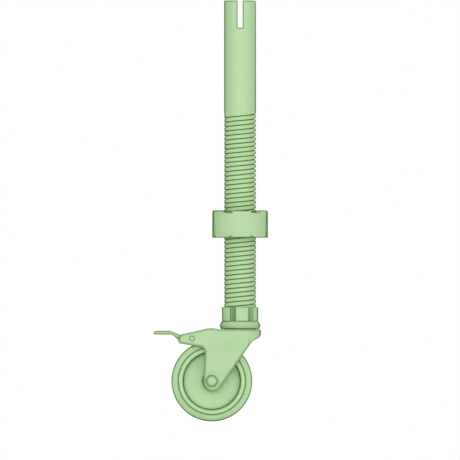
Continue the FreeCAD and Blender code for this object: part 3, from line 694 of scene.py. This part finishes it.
# %% [markdown]
# ## The fork and the brake
# The fork is pressed from one sheet, and the frame's solid already has its true form: crown, cheeks and
# hood. Drawing it again would only lose that. So a copy of its mesh is welded, its flat areas are joined
# into whole faces, and its edges are rounded as the press and the paint round them. The pedal and its cam
# shoe, the bolts, the axle nut and the brake pin are treated the same way. Two forms are drawn rounder than
# the solids have them: the toe of the pedal and the front of the fork's skirt. So planes first cut their
# faces finely enough, then their points are moved, by two and a half millimetres at most, and the edges are
# rounded last.

# %% Round the pedal's toe and fill out the fork's skirt
# The toe is this long, its tip lies this far below the tread, and the new end has this radius. Points less
# than a skin under the sloping top move with it.
TOE_LENGTH = 0.0105
TOE_DROP = 0.0035
TOE_ROUND = 0.005
TOE_SKIN = 0.0015
TOE_CUTS = (0.0003, 0.0008, 0.0014, 0.0022, 0.0032, 0.0042, 0.005, 0.0065, 0.008)
# How far behind the fork's nose, and there how far below the cap the solid's rim lies and how much lower it
# is drawn.
SKIRT_RIM = ((0, 0.0087), (0.0021, 0.0103), (0.0126, 0.0184), (0.0145, 0.0207), (0.0156, 0.0223))
SKIRT_LOWERING = (
    (0, 0.0007), (0.002, 0.0026), (0.005, 0.0024), (0.0069, 0.0018), (0.0126, 0.0003), (0.015, 0),
)
SKIRT_CUTS = 14
SKIRT_CUT_STEP = 0.001
# A point belongs to the rim when it lies this close to its height.
RIM_REACH = 0.0006


def cut_across(piece, places):
    """Cuts a piece's faces by upright planes across it, so that each strip can be moved by itself."""
    edit(piece)
    for place in places:
        bpy.ops.mesh.select_all(action="SELECT")
        bpy.ops.mesh.bisect(plane_co=(place, 0, 0), plane_no=(1, 0, 0), threshold=CUT_THRESHOLD)
    done()


def round_toe(piece):
    """Raises the slope at the tip of the tread to a rounded end, and leaves the flanges below it."""
    low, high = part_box("brake_pedal")
    cut_across(piece, [low.x + cut for cut in TOE_CUTS])
    for point in piece.data.vertices:
        reach = max(point.co.x - low.x, 0)
        slope = TOE_DROP * (1 - reach / TOE_LENGTH)
        if reach < TOE_LENGTH and point.co.z > high.z - slope - TOE_SKIN:
            arc = max(1 - reach / TOE_ROUND, 0)
            point.co.z += slope - TOE_DROP * (1 - math.sqrt(1 - arc * arc))


def between(pairs, place):
    """The value at a place, read off a line through pairs of place and value."""
    for (first, start), (second, end) in zip(pairs, pairs[1:]):
        if place <= second:
            return start + (end - start) * (place - first) / (second - first)
    return pairs[-1][1]


def fill_skirt(piece):
    """Lowers the rim of the skirt in front, where the drawing has it full and round."""
    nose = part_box("fork")[1].x
    cut_across(piece, [nose - SKIRT_CUT_STEP * cut for cut in range(1, SKIRT_CUTS + 1)])
    for point in piece.data.vertices:
        behind = max(nose - point.co.x, 0)
        rim = cap_low.z - between(SKIRT_RIM, behind)
        if behind < SKIRT_LOWERING[-1][0] and abs(point.co.z - rim) < RIM_REACH:
            point.co.z -= between(SKIRT_LOWERING, behind)


# %% Weld a copy of a solid and round its edges
FLAT = math.radians(0.5)


def dressed(node, name, body, width, reshape=None):
    """A welded copy of a node's mesh with its form changed where that is asked for and its edges rounded."""
    piece = bpy.data.objects.new(name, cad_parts[node].data.copy())
    bpy.context.collection.objects.link(piece)
    edit(piece)
    bpy.ops.mesh.select_all(action="SELECT")
    bpy.ops.mesh.remove_doubles(threshold=TINY)
    done()
    if reshape:
        reshape(piece)
    edit(piece)
    bpy.ops.mesh.select_all(action="SELECT")
    bpy.ops.mesh.dissolve_limited(angle_limit=FLAT)
    done()
    soften(piece, width, segments=3)
    smooth(piece)
    settle(piece, body, node)
    return piece


fork = dressed("fork", "pressed_fork", "fork", width=0.0006, reshape=fill_skirt)
pedal = dressed("brake_pedal", "pressed_pedal", "pedal", width=0.0005, reshape=round_toe)
shoe = dressed("brake_shoe", "cam_shoe", "pedal", width=0.0004)
axle_bolt = dressed("axle_bolt", "hex_axle_bolt", "fork", width=0.0003)
axle_nut = dressed("axle_nut", "collared_axle_nut", "fork", width=0.0003)
brake_pin = dressed("brake_pin", "riveted_brake_pin", "fork", width=0.0005)
king_bolt = dressed("king_bolt", "hex_king_bolt", "leg", width=0.0004)

# %% [markdown]
# ## Shared effects
# Three effects come back in most of the finishes, so each is a node group that is built once. Crevice shade
# paints shade where two surfaces come close, Form edge finds the rims of a form, and Skin gives a coat or a
# moulding its fine unevenness. The groups only put out masks, colours and heights: the shader itself stays
# in each material.

# %% Build node trees in a few words
def add(tree, kind, **settings):
    """A new node of a kind, with its settings."""
    node = tree.nodes.new("ShaderNode" + kind)
    for name, value in settings.items():
        setattr(node, name, value)
    return node


def wire(tree, source, node, label):
    """Joins an output to an input of a node."""
    tree.links.new(source, node.inputs[label])


def new_group(name, inputs, outputs):
    """An empty node group with its sockets, and its two end nodes."""
    group = bpy.data.node_groups.new(name, "ShaderNodeTree")
    for label, value in inputs.items():
        socket = group.interface.new_socket(label, in_out="INPUT", socket_type="NodeSocketFloat")
        socket.default_value = value
    for label, kind in outputs.items():
        group.interface.new_socket(label, in_out="OUTPUT", socket_type=kind)
    return group, group.nodes.new("NodeGroupInput"), group.nodes.new("NodeGroupOutput")


def use_group(tree, group, **values):
    """Places a shared group in a material with its own values."""
    node = add(tree, "Group", node_tree=group)
    for label, value in values.items():
        node.inputs[label].default_value = value
    return node


# %% Crevice shade: a mask of painted shade that is 1 where two surfaces meet
# How much of the sky over a point is free: on an open surface, and where the painted shade is at its darkest.
OPEN_SHARE = 0.95
CLOSED_SHARE = 0.35


def build_crevice_shade():
    group, given, result = new_group(
        "Crevice shade", {"Reach": 0.003, "Strength": 1.0}, {"Mask": "NodeSocketFloat"},
    )
    # Painted shade: the less sky a point sees, the darker green it is painted.
    near = add(group, "AmbientOcclusion", samples=8)
    wire(group, given.outputs["Reach"], near, "Distance")
    dark = add(group, "MapRange", interpolation_type="SMOOTHSTEP")
    dark.inputs["From Min"].default_value = OPEN_SHARE
    dark.inputs["From Max"].default_value = CLOSED_SHARE
    wire(group, near.outputs["AO"], dark, "Value")
    scaled = add(group, "Math", operation="MULTIPLY")
    wire(group, dark.outputs["Result"], scaled, 0)
    wire(group, given.outputs["Strength"], scaled, 1)
    wire(group, scaled.outputs[0], result, "Mask")
    return group


# %% Form edge: a mask that is 1 along the rims of a form
# How far the real normal and the one of a rounded edge agree: 1 on a flat face, less towards an edge.
FACE_AGREES = 0.993
EDGE_AGREES = 0.975


def build_form_edge():
    group, given, result = new_group(
        "Form edge", {"Width": 0.002, "Strength": 1.0}, {"Mask": "NodeSocketFloat"},
    )
    rounded = add(group, "Bevel", samples=6)
    wire(group, given.outputs["Width"], rounded, "Radius")
    plain = add(group, "NewGeometry")
    both = add(group, "VectorMath", operation="DOT_PRODUCT")
    wire(group, rounded.outputs["Normal"], both, 0)
    wire(group, plain.outputs["Normal"], both, 1)
    edge = add(group, "MapRange", interpolation_type="SMOOTHSTEP")
    edge.inputs["From Min"].default_value = FACE_AGREES
    edge.inputs["From Max"].default_value = EDGE_AGREES
    wire(group, both.outputs["Value"], edge, "Value")
    scaled = add(group, "Math", operation="MULTIPLY")
    wire(group, edge.outputs["Result"], scaled, 0)
    wire(group, given.outputs["Strength"], scaled, 1)
    wire(group, scaled.outputs[0], result, "Mask")
    return group


# %% Skin: the fine waviness of a coat, and slow changes of tone
def build_skin():
    group, given, result = new_group(
        "Skin", {"Grain": 900.0, "Patches": 30.0}, {"Height": "NodeSocketFloat", "Tone": "NodeSocketFloat"},
    )
    place = add(group, "TexCoord")
    grain = add(group, "TexNoise", noise_dimensions="3D")
    grain.inputs["Detail"].default_value = 2.0
    grain.inputs["Roughness"].default_value = 0.45
    wire(group, place.outputs["Object"], grain, "Vector")
    wire(group, given.outputs["Grain"], grain, "Scale")
    patches = add(group, "TexNoise", noise_dimensions="3D")
    patches.inputs["Detail"].default_value = 3.0
    wire(group, place.outputs["Object"], patches, "Vector")
    wire(group, given.outputs["Patches"], patches, "Scale")
    wire(group, grain.outputs["Fac"], result, "Height")
    wire(group, patches.outputs["Fac"], result, "Tone")
    return group


CREVICE_SHADE = build_crevice_shade()
FORM_EDGE = build_form_edge()
SKIN = build_skin()


# %% [markdown]
# ## Finishes
# The drawing shows every piece in one pale green, with a darker green line wherever a form ends or two
# surfaces meet. So the finishes share that pair of greens and differ in how they take the light: a satin
# powder coat on the metal, a slightly duller wheel core and tyre, and the dullest on the moulded nut. The
# line is painted by three masks together: the form's edges, painted shade in the crevices, and painted shade
# where a round surface turns away from the eye, which moves with the view. Where it has to end at an exact
# place, as along the groove and the rims, one more mask paints it by height and by distance from the axis.
# The deep green in the thread's groove and the flute green in the flutes are painted shade. Inside there is
# zinc-plated steel and acetal. One washer shows in the nut's notches, so its plating is green too.

# %% Colours
SCREEN_GAMMA = 2.2


def rgb(red, green, blue):
    """A screen colour from 0 to 255 as Blender's linear colour."""
    return tuple((value / 255) ** SCREEN_GAMMA for value in (red, green, blue)) + (1.0,)


PALE_GREEN = rgb(178, 214, 160)
# The flute green is painted shade in the flutes. The deep green is painted shade in crevices, in the thread's
# groove and where a round surface turns away, and it also draws the dark lines along edges and rims.
FLUTE_SHADE_GREEN = rgb(128, 168, 106)
DEEP_GREEN = rgb(84, 128, 62)
LIGHT_GREEN = rgb(190, 224, 173)
CORE_GREEN = rgb(188, 224, 170)
TYRE_GREEN = rgb(177, 213, 159)
COOL_ZINC, WARM_ZINC = (0.50, 0.51, 0.53, 1), (0.66, 0.65, 0.60, 1)
DARK_PASSIVE, PALE_PASSIVE = (0.34, 0.52, 0.26, 1), (0.44, 0.62, 0.34, 1)
CREAM, MILK = (0.78, 0.77, 0.72, 1), (0.86, 0.86, 0.82, 1)


# %% A finish from a few numbers
def mix_colour(tree, first, second, mask):
    """One colour going over to another by a mask. Each colour is fixed or the output of a node."""
    node = add(tree, "Mix", data_type="RGBA")
    for label, colour in ((6, first), (7, second)):
        if isinstance(colour, tuple):
            node.inputs[label].default_value = colour
        else:
            tree.links.new(colour, node.inputs[label])
    tree.links.new(mask, node.inputs[0])
    return node.outputs[2]


def scaled_mask(tree, mask, low, high):
    """A mask stretched to run from one value to another."""
    node = add(tree, "MapRange")
    node.inputs["To Min"].default_value = low
    node.inputs["To Max"].default_value = high
    wire(tree, mask, node, "Value")
    return node.outputs["Result"]


def stepped_mask(tree, value, start, end):
    """A mask that rises from 0 to 1 as the value goes from start to end."""
    node = add(tree, "MapRange", interpolation_type="SMOOTHSTEP")
    node.inputs["From Min"].default_value = start
    node.inputs["From Max"].default_value = end
    wire(tree, value, node, "Value")
    return node.outputs["Result"]


def combined(tree, operation, first, second):
    """A sum on two masks, such as the larger of them or their product."""
    node = add(tree, "Math", operation=operation)
    wire(tree, first, node, 0)
    wire(tree, second, node, 1)
    return node.outputs[0]


def worked(tree, operation, value):
    """A sum on one value, such as its size without a sign."""
    node = add(tree, "Math", operation=operation)
    wire(tree, value, node, 0)
    return node.outputs[0]


def start_finish(name, roughness, metallic=0.0):
    """A new material, its node tree and its shader."""
    material = bpy.data.materials.new(name)
    material.use_nodes = True
    shader = material.node_tree.nodes["Principled BSDF"]
    shader.inputs["Roughness"].default_value = roughness
    shader.inputs["Metallic"].default_value = metallic
    return material, material.node_tree, shader


def turned_away_shade(tree, start=0.56, end=0.68):
    """A mask of painted shade where a round surface turns away from the eye; it moves with the view.

    The leg's outline is then as wide as drawn.
    """
    layer = add(tree, "LayerWeight")
    layer.inputs["Blend"].default_value = 0.5
    return stepped_mask(tree, layer.outputs["Facing"], start, end)


COAT_SPECULAR = 0.3
COAT_BUMP = 0.35
# How far the roughness goes below and above its own value as the tone changes.
GLOSSIER, DULLER = 0.06, 0.08


def coated(name, base, roughness, grain, depth, crevice_shade=1.0, reach=0.0025, edge=0.0045, edges=1.0):
    """A painted or moulded finish: changes of tone, a fine skin, and deep green painted shade where forms
    meet and where a round surface turns away, with a line along the form's edges.
    """
    material, tree, shader = start_finish(name, roughness)
    shader.inputs["Specular IOR Level"].default_value = COAT_SPECULAR
    skin = use_group(tree, SKIN, Grain=grain)
    crevice_shade_node = use_group(tree, CREVICE_SHADE, Reach=reach, Strength=crevice_shade)
    rim = use_group(tree, FORM_EDGE, Width=edge, Strength=edges)
    colour = mix_colour(tree, base, LIGHT_GREEN, scaled_mask(tree, skin.outputs["Tone"], -0.1, 0.2))
    # Painted shade: deep green where surfaces come close and where a round surface turns away from the eye,
    # joined with the line along the form's edges.
    line = combined(tree, "MAXIMUM", crevice_shade_node.outputs["Mask"], rim.outputs["Mask"])
    line = combined(tree, "MAXIMUM", line, turned_away_shade(tree))
    wire(tree, mix_colour(tree, colour, DEEP_GREEN, line), shader, "Base Color")
    wire(
        tree, scaled_mask(tree, skin.outputs["Tone"], roughness - GLOSSIER, roughness + DULLER),
        shader, "Roughness",
    )
    bump = add(tree, "Bump")
    bump.inputs["Strength"].default_value = COAT_BUMP
    bump.inputs["Distance"].default_value = depth
    wire(tree, skin.outputs["Height"], bump, "Height")
    wire(tree, bump.outputs["Normal"], shader, "Normal")
    return material


POWDER = {"base": PALE_GREEN, "roughness": 0.42, "grain": 900, "depth": 0.00008}

# %% Turned pieces get painted shade and lines by distance from their axis
# How wide a painted line is, half of it fading, and how many upright lines of painted shade the left flute
# would have in a metre.
RIM_LINE = 0.002
LINES_A_METRE = 330
# Over these depths a groove or a flute goes over to its darker green, as painted shade.
SHALLOW = 0.0002
FLUTE_DEEP = 0.0006
# The left flute's lines end this close to the middle.
MIDDLE_FADE = 0.001
# The reach of the painted shade in crevices on pieces with fine forms.
NEAR = 0.0015


def axis_distance(tree, centre=(0, 0, 0), across="XY"):
    """How far a point lies from an axis through the centre, and the three coordinates of the point."""
    place = add(tree, "TexCoord")
    parts = add(tree, "SeparateXYZ")
    wire(tree, place.outputs["Object"], parts, "Vector")
    flat = add(tree, "CombineXYZ")
    for label in across:
        wire(tree, parts.outputs[label], flat, label)
    arm = add(tree, "VectorMath", operation="SUBTRACT")
    wire(tree, flat.outputs["Vector"], arm, 0)
    arm.inputs[1].default_value = centre
    radius = add(tree, "VectorMath", operation="LENGTH")
    wire(tree, arm.outputs["Vector"], radius, 0)
    return radius.outputs["Value"], parts.outputs


def level_share(tree):
    """How upright a surface's normal is: 1 on a top or an underside, 0 on a wall."""
    facing = add(tree, "NewGeometry")
    normal = add(tree, "SeparateXYZ")
    wire(tree, facing.outputs["Normal"], normal, "Vector")
    return worked(tree, "ABSOLUTE", normal.outputs["Z"])


def paint_over(material, colour, mask):
    """Adds one more colour over what a finish already has."""
    tree = material.node_tree
    shader = tree.nodes["Principled BSDF"]
    coat = shader.inputs["Base Color"].links[0].from_socket
    wire(tree, mix_colour(tree, coat, colour, mask), shader, "Base Color")


def line_up_to(tree, value, end, side):
    """A mask for the line that ends at a value and lies beside it: side is 1 for above and -1 for below."""
    return stepped_mask(tree, value, end + side * RIM_LINE, end + side * RIM_LINE / 2)


def leg_finish():
    """Powder coat with painted shade in the groove, and a deep green line round the slot and along the top.
    """
    material = coated("leg_powder_coat", **POWDER, crevice_shade=0.6, reach=NEAR, edges=0)
    tree = material.node_tree
    radius, parts = axis_distance(tree)
    # Painted shade: the thread's groove goes deep green by its depth.
    groove = stepped_mask(tree, radius, crest_radius - SHALLOW, crest_radius - 0.8 * GROOVE_DEPTH)
    in_bore = stepped_mask(tree, radius, crest_radius - 1.5 * GROOVE_DEPTH, crest_radius - 1.2 * GROOVE_DEPTH)
    paint_over(material, DEEP_GREEN, combined(tree, "MULTIPLY", groove, in_bore))
    half = SLOT_WIDTH / 2
    beside = line_up_to(tree, worked(tree, "ABSOLUTE", parts["X"]), half, 1)
    above = line_up_to(tree, parts["Z"], -SLOT_DEPTH, -1)
    top = line_up_to(tree, parts["Z"], leg_high.z, -1)
    ends = combined(tree, "MAXIMUM", combined(tree, "MULTIPLY", beside, above), top)
    outside = stepped_mask(tree, radius, bore_radius, leg_radius - 2 * CREST_DROP)
    paint_over(material, DEEP_GREEN, combined(tree, "MULTIPLY", ends, outside))
    return material


def collar_finish():
    """The same coat, with painted shade in the flutes. The flute on the left has fine upright lines in the
    drawing, painted here as dark lines of shade.
    """
    material = coated("collar_powder_coat", **POWDER, edge=0.0014)
    tree = material.node_tree
    radius, parts = axis_distance(tree)
    # Painted shade: the flutes go darker by their depth, and the left one gets upright dark lines of shade.
    hollow = stepped_mask(tree, radius, COLLAR_RADIUS - SHALLOW, COLLAR_RADIUS - FLUTE_DEEP)
    flute = combined(tree, "MULTIPLY", hollow, stepped_mask(tree, level_share(tree), 0.6, 0.3))
    paint_over(material, FLUTE_SHADE_GREEN, flute)
    turns = add(tree, "Math", operation="MULTIPLY")
    wire(tree, parts["X"], turns, 0)
    turns.inputs[1].default_value = LINES_A_METRE * math.tau
    lines = stepped_mask(tree, worked(tree, "SINE", turns.outputs[0]), 0.2, 0.8)
    left = stepped_mask(tree, parts["X"], MIDDLE_FADE, -MIDDLE_FADE)
    lines = combined(tree, "MULTIPLY", combined(tree, "MULTIPLY", lines, left), flute)
    paint_over(material, DEEP_GREEN, lines)
    return material


def nut_finish():
    """Moulded nylon, with a line along the rounded rims above and below."""
    material = coated(
        "moulded_nylon", PALE_GREEN, roughness=0.55, grain=1600, depth=0.00012,
        crevice_shade=0.5, reach=NEAR, edge=0.002,
    )
    tree = material.node_tree
    radius, parts = axis_distance(tree)
    outside = stepped_mask(tree, radius, nut_radius - RIM_WALL, nut_radius - NUT_EDGE)
    above = line_up_to(tree, parts["Z"], nut_high.z, -1)
    below = line_up_to(tree, parts["Z"], nut_low.z, 1)
    paint_over(
        material, DEEP_GREEN,
        combined(tree, "MULTIPLY", outside, combined(tree, "MAXIMUM", above, below)),
    )
    return material


# Painted shade in the wheel's crevices, and the width of its edge lines.
WHEEL_SHADE_AND_LINES = {"crevice_shade": 0.5, "reach": NEAR, "edge": 0.0028}


def tyre_coat():
    """Cast tread, with a line round its side where the shoulder ends."""
    material = coated("cast_polyurethane", TYRE_GREEN, roughness=0.5, grain=300, depth=0.00006, **WHEEL_SHADE_AND_LINES)
    tree = material.node_tree
    radius = axis_distance(tree, (wheel_centre.x, 0, wheel_centre.z), "XZ")[0]
    paint_over(material, DEEP_GREEN, line_up_to(tree, radius, tyre_radius, -1))
    return material


# %% Plated steel and acetal
def steel_finish(name, cool, warm):
    """Plated steel: a fine grain in its gloss and a faint mottle between two tones."""
    material, tree, shader = start_finish(name, 0.32, 1.0)
    skin = use_group(tree, SKIN, Grain=2500, Patches=60)
    colour = mix_colour(tree, cool, warm, skin.outputs["Tone"])
    wire(tree, colour, shader, "Base Color")
    wire(tree, scaled_mask(tree, skin.outputs["Height"], 0.24, 0.42), shader, "Roughness")
    return material


def acetal_finish():
    """White acetal, slightly milky."""
    material, tree, shader = start_finish("white_acetal", 0.38)
    skin = use_group(tree, SKIN, Grain=600, Patches=80)
    colour = mix_colour(tree, CREAM, MILK, skin.outputs["Tone"])
    wire(tree, colour, shader, "Base Color")
    wire(tree, scaled_mask(tree, skin.outputs["Height"], 0.34, 0.44), shader, "Roughness")
    return material


# %% Give every piece its finish
def wear(pieces, material):
    """Gives each piece its finish."""
    for piece in pieces:
        piece.data.materials.clear()
        piece.data.materials.append(material)


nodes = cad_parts
castor_coat = coated("castor_powder_coat", **POWDER)
pin_coat = coated("pin_powder_coat", **POWDER, crevice_shade=0, edges=0)
pedal_coat = coated("pedal_powder_coat", **POWDER, crevice_shade=0.3)
core_moulding = coated("moulded_core", CORE_GREEN, roughness=0.46, grain=500, depth=0.00005, **WHEEL_SHADE_AND_LINES)
steel = steel_finish("zinc_plated_steel", COOL_ZINC, WARM_ZINC)
green_steel = steel_finish("green_passivated_steel", DARK_PASSIVE, PALE_PASSIVE)
acetal = acetal_finish()

wear([leg], leg_finish())
wear([collar], collar_finish())
wear([cap, fork, axle_bolt, axle_nut], castor_coat)
wear([brake_pin], pin_coat)
wear([pedal], pedal_coat)
wear([nut], nut_finish())
wear([rim], core_moulding)
wear([tyre], tyre_coat())
wear([shoe, king_bolt], steel)
STEEL_NODES = (
    "leg_plug", "upper_race", "king_sleeve", "lower_race", "axle_sleeve", "brake_leaf_spring",
    "bearing_shell", "rollers",
)
ACETAL_NODES = ("upper_bearing_ring", "lower_bearing_ring", "hub_washers", "roller_cage")
wear([nodes[name] for name in STEEL_NODES], steel)
wear([nodes["thrust_washer"]], green_steel)
wear([nodes[name] for name in ACETAL_NODES], acetal)

# %% [markdown]
# ## Floor, light and camera
# The drawing is a flat side view, so the camera has no perspective and looks level along +Y. Seen like that
# a floor is only a line, so it is a pale sheet under the wheel, and the white behind the castor comes from
# the world.

# %% Floor
FLOOR_SIZE = 6
FLOOR_GAP = 0.0002


def floor_finish():
    material, _, shader = start_finish("pale_floor", 0.7)
    shader.inputs["Base Color"].default_value = (0.86, 0.87, 0.86, 1)
    return material


bpy.ops.object.select_all(action="DESELECT")
bpy.ops.mesh.primitive_plane_add(size=FLOOR_SIZE, location=(0, 0, cad_low.z - FLOOR_GAP))
floor = bpy.context.object
floor.name = "floor"
floor.data.materials.append(floor_finish())


# %% Lights
AIM = (0, 0, -0.4)
WHITE = (1, 1, 1, 1)
SKY_STRENGTH = 0.5


def area_light(name, place, size, power):
    """A square soft light that faces the middle of the castor."""
    data = bpy.data.lights.new(name, "AREA")
    data.size = size
    data.energy = power
    light = bpy.data.objects.new(name, data)
    light.location = place
    light.rotation_euler = (Vector(AIM) - Vector(place)).to_track_quat("-Z", "Y").to_euler()
    bpy.context.collection.objects.link(light)


area_light("key", (-0.8, -1.5, 0.3), size=1.2, power=5)
area_light("fill", (1.1, -1.4, -0.3), size=1.2, power=6)
area_light("front", (-0.1, -2.6, -0.35), size=1.4, power=21)
area_light("rim", (0.5, 1.2, 0.4), size=0.8, power=11)

# The sky lights the castor at half strength, while the camera sees it pure white behind the castor.

world = bpy.data.worlds.new("studio")
bpy.context.scene.world = world
world.use_nodes = True
sky = world.node_tree.nodes["Background"]
sky.inputs["Color"].default_value = WHITE
sky.inputs["Strength"].default_value = SKY_STRENGTH
seen = add(world.node_tree, "Background")
seen.inputs["Color"].default_value = WHITE
seen.inputs["Strength"].default_value = 1.0
path = add(world.node_tree, "LightPath")
either = add(world.node_tree, "MixShader")
wire(world.node_tree, path.outputs["Is Camera Ray"], either, 0)
wire(world.node_tree, sky.outputs[0], either, 1)
wire(world.node_tree, seen.outputs[0], either, 2)
wire(world.node_tree, either.outputs[0], world.node_tree.nodes["World Output"], "Surface")
bpy.context.scene.view_settings.view_transform = "Standard"

# %% Camera
MM_A_PIXEL = 1.5467
PHOTO_SIZE = 460
LEG_AXIS_PIXEL = 240.1
FLOOR_PIXEL = 421.38
CAMERA_DISTANCE = 1.6

camera_data = bpy.data.cameras.new("camera")
camera_data.type = "ORTHO"
camera_data.ortho_scale = MM_A_PIXEL * PHOTO_SIZE / 1000
camera = bpy.data.objects.new("camera", camera_data)
across = (PHOTO_SIZE / 2 - LEG_AXIS_PIXEL) * MM_A_PIXEL / 1000
height = cad_low.z + (FLOOR_PIXEL - PHOTO_SIZE / 2) * MM_A_PIXEL / 1000
camera.location = (across, -CAMERA_DISTANCE, height)
camera.rotation_euler = (math.pi / 2, 0, 0)
bpy.context.collection.objects.link(camera)
bpy.context.scene.camera = camera
